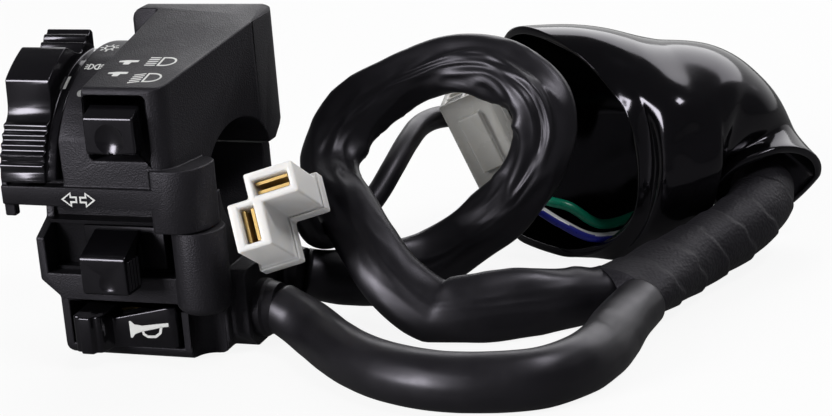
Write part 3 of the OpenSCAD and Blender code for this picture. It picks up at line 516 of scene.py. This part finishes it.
# %% Tape joint
tape_spine = [
    (95.2, 15.8, -29.3), (98.6, 21.6, -28.9), (102.3, 28.6, -28.3), (106.4, 36.6, -27.5),
    (110.2, 44.2, -26.5), (113.3, 51, -25.3), (115.3, 57.2, -24), (115.8, 62.6, -22.8), (115.2, 67, -21.7),
]
# Half height and half width at each point of the spine
tape_half = [(5.6, 10.8, 0), (6.1, 9.6, 0), (6.8, 8.2, 0)] + [(7, 7, 0)] * 6
TURN_PITCH, TAPE_STEP, TAPE_SUNK = 8.5, 0.42, 0.3
RISE_SHARE, DROP_SHARE = 0.9, 0.1
SWAY, SWAY_RUN, SWAY_SHARE = 0.35, 9, 0.4
SLANT, SLANT_FROM = 0.22, 0.8
CRUMPLE, CRUMPLE_RUN = 0.18, 5


def tape_rings(sides=80, step=0.35):
    marks = stations(tape_spine, step)
    line = [spline(tape_spine, i, t) for i, t in marks]
    rings = []
    far = 0.0
    frames = travelling_frames(line)
    for n, ((i, t), centre, (along, up, side)) in enumerate(zip(marks, line, frames)):
        far += (centre - line[max(n - 1, 0)]).length
        high, wide, _ = spline(tape_half, i, t)
        ring = []
        for k in range(sides):
            a = 2 * math.pi * k / sides
            sway = SWAY * noise.noise(Vector((far / SWAY_RUN, 2 * math.cos(a), 2 * math.sin(a))))
            slant = SLANT * math.sin(a + SLANT_FROM)
            turn = (far / TURN_PITCH - a / (2 * math.pi) + sway * SWAY_SHARE + slant) % 1.0
            lift = TAPE_STEP * min(turn / RISE_SHARE, (1.0 - turn) / DROP_SHARE) - TAPE_SUNK
            lift += CRUMPLE * noise.noise(Vector((far / CRUMPLE_RUN, 3 + math.cos(a), math.sin(a))))
            point = centre + up * math.cos(a) * (high + lift) + side * math.sin(a) * (wide + lift)
            point.z = max(point.z, FLOOR + FLOOR_GAP)
            ring.append(point)
        rings.append(ring)
    return line, rings


tape_line, rings = tape_rings()
tape_joint = piece("tape_joint", loft(rings), tape_black, replaces=["tape_wrap"])
print("tape joint:", round(length_of(tape_line), 1), "mm,", len(tape_joint.data.polygons), "faces")

# %% [markdown]
# ## Rubber boot
# The boot is a dipped rubber bag: a wide mouth for the plugs, a crown, and a nozzle that turns down over
# the taped bundle. Its wall is thin, so it sags at the front and keeps a few soft dents. The shell is
# lofted along the same spine as the CAD solid, pushed in and out around chosen points of its surface, and
# only then gets its wall with a Solidify modifier, so that inside and outside stay parallel.

# %% Boot spine, dents and folds
boot_spine = [
    (62, 57.5, -9.5), (72, 60.5, -10), (82, 63, -11), (91, 66, -11.5), (100, 69.5, -12), (107.5, 71, -14.5),
    (112.6, 69.7, -18.2), (116.4, 65.7, -21.2),
]
# Half height and half width at each point of the spine
boot_half = [
    (25.8, 20.5, 0), (26.2, 22.5, 0), (25.2, 25, 0), (23.3, 24.5, 0), (21.8, 21.5, 0), (17.4, 17, 0),
    (11.8, 13.4, 0), (11.4, 14, 0),
]
# Dents and swellings: place, radius and height; folds: two ends, radius and height
boot_dents = [
    ((94.3, 53.5, 10.1), 10.0, -1.2), ((101.2, 47.8, 2.4), 6.5, 1.3), ((105.6, 46.2, -4.3), 3.6, -1.3),
    ((109.2, 56.0, 2.3), 7.0, 0.5), ((114.0, 61.0, -8.0), 4.5, -1.0), ((98.9, 43.2, -15.3), 5.0, 0.7),
    ((103.4, 43.4, -10.8), 3.5, -0.9), ((110.5, 64.1, 4.6), 9.0, 0.6), ((83.4, 53.4, 12.7), 9.0, 0.6),
]
boot_folds = [
    ((91.6, 47.2, 3.1), (90.2, 45.0, -8.0), 2.6, 1.1),
    ((90.2, 45.0, -8.0), (92.0, 44.0, -22.0), 2.8, 0.8),
    ((95.5, 44.6, -2.0), (95.0, 43.2, -12.0), 2.4, -0.8),
    ((101.2, 45.0, -6.0), (101.5, 45.5, -20.0), 2.2, -0.7),
]
print("boot:", len(boot_dents), "dents and", len(boot_folds), "folds")

# %% Boot sections
UNEVEN, UNEVEN_RUN = 0.5, 17
BELLY_DEEP, BELLY_WIDE = 0.7, 0.8
MOUTH_SLANT, MOUTH_BACK, MOUTH_RUN, TUCK = 30.0, 4.0, 46.0, 0.45


def distance_to_fold(point, start, end):
    run = Vector(end) - Vector(start)
    share = min(1.0, max(0.0, (point - Vector(start)).dot(run) / run.length_squared))
    return (point - Vector(start) - run * share).length


def boot_push(point):
    push = UNEVEN * noise.noise(point / UNEVEN_RUN)
    for centre, radius, height in boot_dents:
        push += height * math.exp(-((point - Vector(centre)).length / radius) ** 2)
    for start, end, radius, height in boot_folds:
        push += height * math.exp(-(distance_to_fold(point, start, end) / radius) ** 2)
    return push


def boot_rings(sides=88, step=1.1):
    """Sections of the boot, cut back at the front of its mouth and tucked in below, as in the CAD solid."""
    marks = stations(boot_spine, step)
    line = [spline(boot_spine, i, t) for i, t in marks]
    rings = []
    far = 0.0
    for n, ((i, t), centre) in enumerate(zip(marks, line)):
        far += (centre - line[max(n - 1, 0)]).length
        fade = max(0.0, 1.0 - far / MOUTH_RUN)
        along = (line[min(n + 1, len(line) - 1)] - line[max(n - 1, 0)]).normalized()
        up = (Vector((0, 0, 1)) - along * along.z).normalized()
        side = along.cross(up)
        high, wide, _ = spline(boot_half, i, t)
        ring = []
        for k in range(sides):
            c, s = math.cos(2 * math.pi * k / sides), math.sin(2 * math.pi * k / sides)
            if c < 0:
                c = -abs(c) ** BELLY_DEEP
                s = math.copysign(abs(s) ** BELLY_WIDE, s) * (1.0 + TUCK * (1.0 - fade) * c)
            slant = fade * (MOUTH_SLANT * ((1.0 + s) / 2) ** 2 - MOUTH_BACK)
            point = centre + up * high * c + side * wide * s + along * slant
            outward = (up * c + side * s).normalized()
            point += outward * boot_push(point)
            point.z = max(point.z, FLOOR + FLOOR_GAP)
            ring.append(point)
        rings.append(ring)
    return rings


# %% Boot shell
BOOT_WALL = 1.8
boot = piece("rubber_boot_shell", loft(boot_rings(), close=False), rubber_black,
             replaces=["rubber_boot"])
wall = boot.modifiers.new("wall", "SOLIDIFY")
wall.thickness = BOOT_WALL * MM
wall.offset = -1.0
smoothing = boot.modifiers.new("smoothing", "SUBSURF")
smoothing.levels = smoothing.render_levels = 1
print("boot shell:", len(boot.data.polygons), "faces before its wall")

# %% [markdown]
# ## Wires and lead
# The two-way plug hangs on its own short lead, and coloured wires come out of the many-way plug and go
# into the boot. They are plain round insulation, so each is a loft of even circles. The stripe of the
# blue one is a second finish on the faces that look up.

# %% Insulation finishes
SHADED = 0.75


def insulation(name, colour, low, high):
    finish, tree, shader, coords = new_finish(name)
    gloss = place_group(tree, smudge, coords, Size=220.0, Low=low, High=high)
    texture = place_group(tree, grain, coords, Cells=1500.0)
    two_tones(tree, shader, texture.outputs["Patch"], [SHADED * c for c in colour], colour)
    tree.links.new(gloss.outputs["Roughness"], shader.inputs["Roughness"])
    return finish


green_cover = insulation("green_cover", (0.005, 0.26, 0.15), 0.25, 0.4)
blue_cover = insulation("blue_cover", (0.015, 0.02, 0.30), 0.25, 0.4)
white_cover = insulation("white_cover", (0.75, 0.75, 0.77), 0.3, 0.45)
print("insulation:", green_cover.name, blue_cover.name, white_cover.name)


# %% Wires and lead
def round_cord(name, route, diameter, finish, node, sides=24, step=0.8):
    line = [spline(route, i, t) for i, t in stations(route, step)]
    rings = []
    for centre, (along, up, side) in zip(line, travelling_frames(line)):
        turn = [2 * math.pi * k / sides for k in range(sides)]
        rings.append([centre + (up * math.cos(a) + side * math.sin(a)) * diameter / 2 for a in turn])
    return line, piece(name, loft(rings), finish, replaces=[node])


lead_route = [
    (70, 67, -9), (61, 67.5, -8), (52, 65, -6), (45.5, 57.5, -4), (43, 49, -3.5), (42.5, 40.5, -5),
    (41.5, 33, -8.5), (39.5, 27, -13), (36.5, 21, -17), (33.4, 14.8, -18.6), (32.2, 8.6, -16.2),
    (32.4, 3.6, -11), (33, -0.2, -6.3),
]
green_route = [
    (96, 64, -23), (88, 58.5, -26.5), (81.5, 53.5, -27),
    (75.5, 50.5, -22.2), (70, 50.6, -20.8), (64, 53.4, -18.8),
]
blue_route = [
    (97, 62, -26), (88, 56, -29.3), (80.5, 51, -29.3),
    (74, 48.5, -25.5), (67, 49.5, -21.8), (60.2, 52.5, -20.4),
]
LEAD, WIRE, STRIPE_RISE = 5.0, 2.2, 0.6
lead_line, lead = round_cord("plug_lead_cover", lead_route, LEAD, vinyl_black, "plug_lead")
green_line, green = round_cord("green_wire_cover", green_route, WIRE, green_cover, "green_wire")
blue_line, blue = round_cord("blue_wire_cover", blue_route, WIRE, blue_cover, "blue_wire")
blue.data.materials.append(white_cover)
for face in blue.data.polygons:
    face.material_index = 1 if face.normal.z > STRIPE_RISE else 0
print("lead and wires:", [len(cord.data.polygons) for cord in (lead, green, blue)], "faces")

# %% [markdown]
# ## Cord facts
# Each cord is printed with its own length and thickness.

# %% Cord facts
def declare(obj, line, diameter):
    print(obj.name, round(length_of(line), 1), "mm long,", diameter, "mm across")


declare(front_film, front_line, SLEEVE)
declare(rear_film, rear_line, SLEEVE)
declare(lead, lead_line, LEAD)
declare(green, green_line, WIRE)
declare(blue, blue_line, WIRE)

# %% [markdown]
# ## Nylon, brass, steel and plate finishes
# The plug housings are natural nylon: the white one is dense and satin, the grey one milky, so both let a
# little light into the surface. Contacts are stamped brass with a slight tarnish, screws and springs are
# plated steel. One recipe serves each family and only its colours and gloss change.

# %% Nylon, brass, steel and plate finishes
FINE_RELIEF = 0.0002
GLOW_RADIUS, GLOW_DEPTH = (1.0, 0.9, 0.75), 0.002


def tinted_finish(name, dark, light, low, high, bump, metallic=0.0, glow=0.0, cells=1800.0, size=140.0):
    finish = black_finish(name, dark, light, low, high, bump, FINE_RELIEF, cells=cells, size=size)
    shader = finish.node_tree.nodes["Principled BSDF"]
    shader.inputs["Metallic"].default_value = metallic
    shader.inputs["Specular Tint"].default_value = WHITE_SHEEN
    shader.inputs["Subsurface Weight"].default_value = glow
    shader.inputs["Subsurface Radius"].default_value = GLOW_RADIUS
    shader.inputs["Subsurface Scale"].default_value = GLOW_DEPTH
    return finish


white_nylon = tinted_finish(
    "white_nylon", (0.7, 0.685, 0.675), (0.77, 0.76, 0.75), 0.36, 0.52, 0.06, glow=0.5)
milky_nylon = tinted_finish("milky_nylon", (0.5, 0.49, 0.47), (0.64, 0.63, 0.6), 0.2, 0.36, 0.06, glow=0.4)
brass = tinted_finish("brass", (0.5, 0.33, 0.11), (0.68, 0.48, 0.2), 0.42, 0.6, 0.1, metallic=0.85)
steel = tinted_finish("steel", (0.42, 0.42, 0.43), (0.58, 0.58, 0.6), 0.22, 0.4, 0.06, metallic=1.0)
phenolic = tinted_finish("phenolic", (0.05, 0.028, 0.015), (0.085, 0.05, 0.03), 0.45, 0.62, 0.15)
slide_black = black_finish(
    "slide_black", black(0.002), black(0.004), 0.4, 0.55, 0.2, 0.0001, cells=3200.0, shine=0.15)
gland_black = black_finish(
    "gland_black", black(0.003), black(0.006), 0.36, 0.52, 0.15, 0.0001, cells=2600.0, shine=0.36)
print("finishes:", len(bpy.data.materials))

# %% [markdown]
# ## Moulded parts with soft edges
# The housings, buttons and plug housings already have the right shape in the CAD model, but its edges are
# knife-sharp, and no moulding has such edges. A copy of each solid is merged into one skin, its flat
# triangles are joined into faces, and a Bevel modifier rounds every edge that is sharper than 30 degrees.
# Two buttons have a dished face, and its shallow rim is not bevelled but only marked as a crease.

# %% Moulded parts with soft edges
EDGE, DISH_RIM, DISH_CREASE = 30, 62, 12
FLAT, WELD, ROUND_STEPS = 0.6, 2e-6, 3


def soft_edged(node, finish, width, sharp):
    """A merged copy of a CAD solid, with every edge sharper than the given angle rounded."""
    source = frame["nodes"][node]
    bm = bmesh.new()
    bm.from_mesh(source.data)
    bmesh.ops.remove_doubles(bm, verts=bm.verts, dist=WELD)
    bmesh.ops.dissolve_limit(bm, angle_limit=math.radians(FLAT), verts=bm.verts, edges=bm.edges)
    obj = piece(node + "_moulding", bm, finish, body=source["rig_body"], replaces=[node])
    if sharp == DISH_RIM:
        obj.data.set_sharp_from_angle(angle=math.radians(DISH_CREASE))
    edges = obj.modifiers.new("soft_edges", "BEVEL")
    edges.width = width * MM
    edges.segments = ROUND_STEPS
    edges.limit_method = "ANGLE"
    edges.angle_limit = math.radians(sharp)
    edges.use_clamp_overlap = False
    edges.harden_normals = True
    return obj


for node, finish, slot, width, sharp in (
    ("upper_housing", housing_black, "housing", 0.35, EDGE),
    ("lower_housing", housing_black, "housing", 0.35, EDGE),
    ("dimmer_button", polished_black, "gloss_black", 0.4, DISH_RIM),
    ("turn_cap", polished_black, "gloss_black", 0.25, DISH_RIM),
    ("turn_carrier", slide_black, "carrier", 0.2, EDGE),
    ("horn_lever", polished_black, "gloss_black", 0.25, EDGE),
    ("light_knob", polished_black, "gloss_black", 0.3, EDGE),
    ("two_way_plug", white_nylon, "white_nylon", 0.5, EDGE),
    ("multi_plug", milky_nylon, "grey_nylon", 0.35, EDGE),
):
    moulding = soft_edged(node, finish, width, sharp)
    print(moulding.name, len(moulding.data.polygons), "faces")

# %% [markdown]
# ## Parts that keep their CAD shape
# Screws, pins, contacts and contact plates are small or hidden, and their CAD solids are already
# what they should be. They only get a finish, through the material slots of their own objects.

# %% Parts that keep their CAD shape
kept_finishes = {
    steel: ("clamp_screws", "detent_ball", "detent_spring", "horn_pin"),
    brass: ("light_contacts", "dimmer_contacts", "turn_contacts", "turn_shoe", "horn_contact",
            "two_way_blades", "multi_blades"),
    phenolic: ("dimmer_base",),
    slide_black: ("turn_base", "horn_base"),
    gland_black: ("front_gland", "rear_gland"),
}
for finish, names in kept_finishes.items():
    for name in names:
        for place in frame["nodes"][name].material_slots:
            place.material = finish
print("kept CAD shapes:", sum(len(names) for names in kept_finishes.values()))

# %% [markdown]
# ## Springs
# A coil pushes the dimmer button out and a bent brass leaf does so for the horn lever. Both shorten when
# the thumb presses. Each is a merged copy of its CAD solid that keeps its shape; a stiff copy like this
# would poke through the button.

# %% Springs
def yielding(name, node, finish):
    bm = bmesh.new()
    bm.from_mesh(frame["nodes"][node].data)
    bmesh.ops.remove_doubles(bm, verts=bm.verts, dist=WELD)
    obj = piece(name, bm, finish, replaces=[node], smooth=False)
    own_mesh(obj)


yielding("dimmer_coil", "dimmer_spring", steel)
yielding("horn_strip", "horn_leaf", brass)

# %% [markdown]
# ## Printed symbols
# The lamp, turn and horn symbols are pad-printed: a layer of white ink, a few hundredths of a millimetre
# thick. They could be painted by a mask in the material, but ink with its own thickness stays crisp in
# every view. Each symbol is drawn flat in millimetres, laid on the surface that carries it by casting a
# ray from every point, and then extruded into a thin layer.

# %% Printing helpers
ink_white = tinted_finish("ink_white", (0.5, 0.5, 0.49), (0.72, 0.72, 0.71), 0.45, 0.6, 0.1, size=400.0)
ink_grey = tinted_finish("ink_grey", (0.16, 0.16, 0.16), (0.26, 0.26, 0.26), 0.45, 0.6, 0.1, size=400.0)
INK, SUNK = 0.09, 0.04
RAY, LONG_EDGE, TIGHT_MITRE = 4, 0.9, 0.45


def stroke(bm, points, width, closed=False):
    """A flat line of even width through the points, mitred at its corners."""
    pts = [Vector((x, y, 0)) for x, y in points]
    count = len(pts)
    pairs = []
    for i, point in enumerate(pts):
        before = pts[i - 1] if closed or i else point
        after = pts[(i + 1) % count] if closed or i < count - 1 else point
        a = (point - before).normalized() if before != point else (after - point).normalized()
        b = (after - point).normalized() if after != point else a
        out = (a + b).normalized()
        out = Vector((-out.y, out.x, 0)) * width / 2 / max(TIGHT_MITRE, (1 + a.dot(b)) / 2) ** 0.5
        pairs.append((bm.verts.new(point + out), bm.verts.new(point - out)))
    for i in range(count if closed else count - 1):
        (a, b), (c, d) = pairs[i], pairs[(i + 1) % count]
        bm.faces.new((a, b, d, c))


def filled(bm, points):
    bm.faces.new([bm.verts.new((x, y, 0)) for x, y in points])


def arc(x, y, radius, start, end, steps=12):
    angles = [math.radians(start + (end - start) * k / steps) for k in range(steps + 1)]
    return [(x + radius * math.cos(a), y + radius * math.sin(a)) for a in angles]


def print_on(name, draw, node, at, right, up, finish=ink_white):
    """Draws a symbol flat, lays it on a node's surface round the point at, and makes it a thin layer."""
    source = frame["nodes"][node]
    skin = bmesh.new()
    skin.from_mesh(source.data)
    tree = BVHTree.FromBMesh(skin)
    skin.free()
    right, up = Vector(right).normalized(), Vector(up).normalized()
    out = right.cross(up).normalized()
    bm = bmesh.new()
    draw(bm)
    bmesh.ops.triangulate(bm, faces=bm.faces)
    long_edges = [e for e in bm.edges if e.calc_length() > LONG_EDGE]
    bmesh.ops.subdivide_edges(bm, edges=long_edges, cuts=2)
    bmesh.ops.triangulate(bm, faces=bm.faces)
    missed = 0
    for vert in bm.verts:
        spot = (Vector(at) + right * vert.co.x + up * vert.co.y) * MM
        hit = tree.ray_cast(spot + out * RAY * MM, -out, 2 * RAY * MM)[0]
        missed += hit is None
        vert.co = (hit or spot) - out * SUNK * MM
    layer = bmesh.ops.extrude_face_region(bm, geom=bm.faces[:])["geom"]
    top = [g for g in layer if isinstance(g, bmesh.types.BMVert)]
    bmesh.ops.translate(bm, verts=top, vec=out * INK * MM)
    bmesh.ops.recalc_face_normals(bm, faces=bm.faces)
    made = piece(name, bm, finish, body=source["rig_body"], smooth=False)
    print(name, len(made.data.polygons), "faces,", missed, "points off the surface")


# %% Lamp symbols
def beam_lamp(tilt):
    """A round-backed lamp with five beams to its left, level for high beam and falling for low."""
    def draw(bm):
        back = [(0.7 + 2.1 * x, 1.75 * y) for x, y in arc(0, 0, 1, 90, -90, 14)]
        stroke(bm, back + [(-0.35, -1.75), (-0.35, 1.75)], 0.42, closed=True)
        for k in range(5):
            y = 1.7 - 0.85 * k
            stroke(bm, [(-3.3, y - tilt), (-1.0, y)], 0.36)
    return draw


def draw_sun(bm):
    stroke(bm, arc(0, 0, 0.95, 0, 345, 23), 0.36, closed=True)
    for k in range(8):
        c, s = math.cos(math.pi * k / 4), math.sin(math.pi * k / 4)
        stroke(bm, [(1.35 * c, 1.35 * s), (2.05 * c, 2.05 * s)], 0.36)


def draw_parking(bm):
    for way in (-1, 1):
        bulb = arc(0.95, 0, 0.78, 90, 270, 10) + [(1.12, -0.78), (1.12, 0.78)]
        stroke(bm, [(way * x, y) for x, y in bulb], 0.27, closed=True)
        for k in (-1, 0, 1):
            stroke(bm, [(way * 1.42, 0.45 * k), (way * 1.98, 0.7 * k)], 0.24)


def draw_dot(bm):
    filled(bm, arc(0, 0, 0.85, 0, 340, 17))


def draw_flash(bm):
    """A switch lever seen from its side."""
    filled(bm, [(-2.1, 0.6), (-0.4, 0.95), (2.1, 0.95), (2.1, 0.15), (0.7, 0.05), (0.5, -0.95),
                (-0.8, -0.95), (-0.8, 0.0), (-2.1, 0.1)])


def draw_tick(bm):
    stroke(bm, [(0, -1.7), (0, 1.7)], 0.6)


SLOPE, DRUM = Vector((0, 0.98, 0.2)), 26.5


def round_bar(degrees):
    """Up the drum's side, as seen by someone who faces it, at an angle forward of the top."""
    a = math.radians(degrees)
    return Vector((0, math.cos(a), math.sin(a)))


def on_drum(degrees, x):
    a = math.radians(degrees)
    return (x, -DRUM * math.sin(a), DRUM * math.cos(a))


print_on("high_beam_symbol", beam_lamp(0.0), "upper_housing", (11.4, -11.1, 25.9), (1, 0, 0), SLOPE)
print_on("low_beam_symbol", beam_lamp(0.7), "upper_housing", (11.3, -18.2, 24.5), (1, 0, 0), SLOPE)
print_on("flash_high_symbol", draw_flash, "upper_housing", (4.0, -11.6, 25.8), (1, 0, 0), SLOPE)
print_on("flash_low_symbol", draw_flash, "upper_housing", (4.0, -16.8, 24.7), (1, 0, 0), SLOPE)
print_on("sun_symbol", draw_sun, "upper_housing", on_drum(5.6, -4.6), (1, 0, 0), round_bar(5.6))
print_on("parking_symbol", draw_parking, "upper_housing", on_drum(23, -4.4), (1, 0, 0), round_bar(23))
print_on("off_symbol", draw_dot, "upper_housing", on_drum(39, -4.6), (1, 0, 0), round_bar(39), ink_grey)
print_on("index_tick", draw_tick, "light_knob", (-9.4, -13.3, 21.9), (0.97, 0.12, 0.1), round_bar(31))


# %% Turn and horn symbols
def draw_arrows(bm):
    for way in (-1, 1):
        outline = [(0.45, 0.5), (1.7, 0.5), (1.7, 1.35), (3.55, 0), (1.7, -1.35), (1.7, -0.5), (0.45, -0.5)]
        stroke(bm, [(way * x, y) for x, y in outline], 0.36, closed=True)


def draw_horn(bm):
    """A bugle with its bell at the left and one turn of tube below."""
    filled(bm, [(-4.3, 1.8), (-3.9, 1.8), (-3.2, 1.1), (-1.6, 0.85), (3.0, 1.45), (4.3, 1.6), (4.3, 0.8),
                (3.0, 0.65), (-1.6, -0.4), (-3.2, -0.95), (-3.9, -1.8), (-4.3, -1.8)])
    stroke(bm, [(-1.5, -0.2), (-1.35, -0.95), (-0.5, -1.5), (1.2, -1.45), (2.3, -0.65), (2.7, 0.8)], 0.52)


print_on("turn_symbol", draw_arrows, "upper_housing", (-4.1, -24, 0.72), (1, 0, 0), (0, 0, 1))
print_on("horn_symbol", draw_horn, "horn_lever", (6.2, -20.2, -27.9), (1, 0.06, 0), (0, 0, 1))
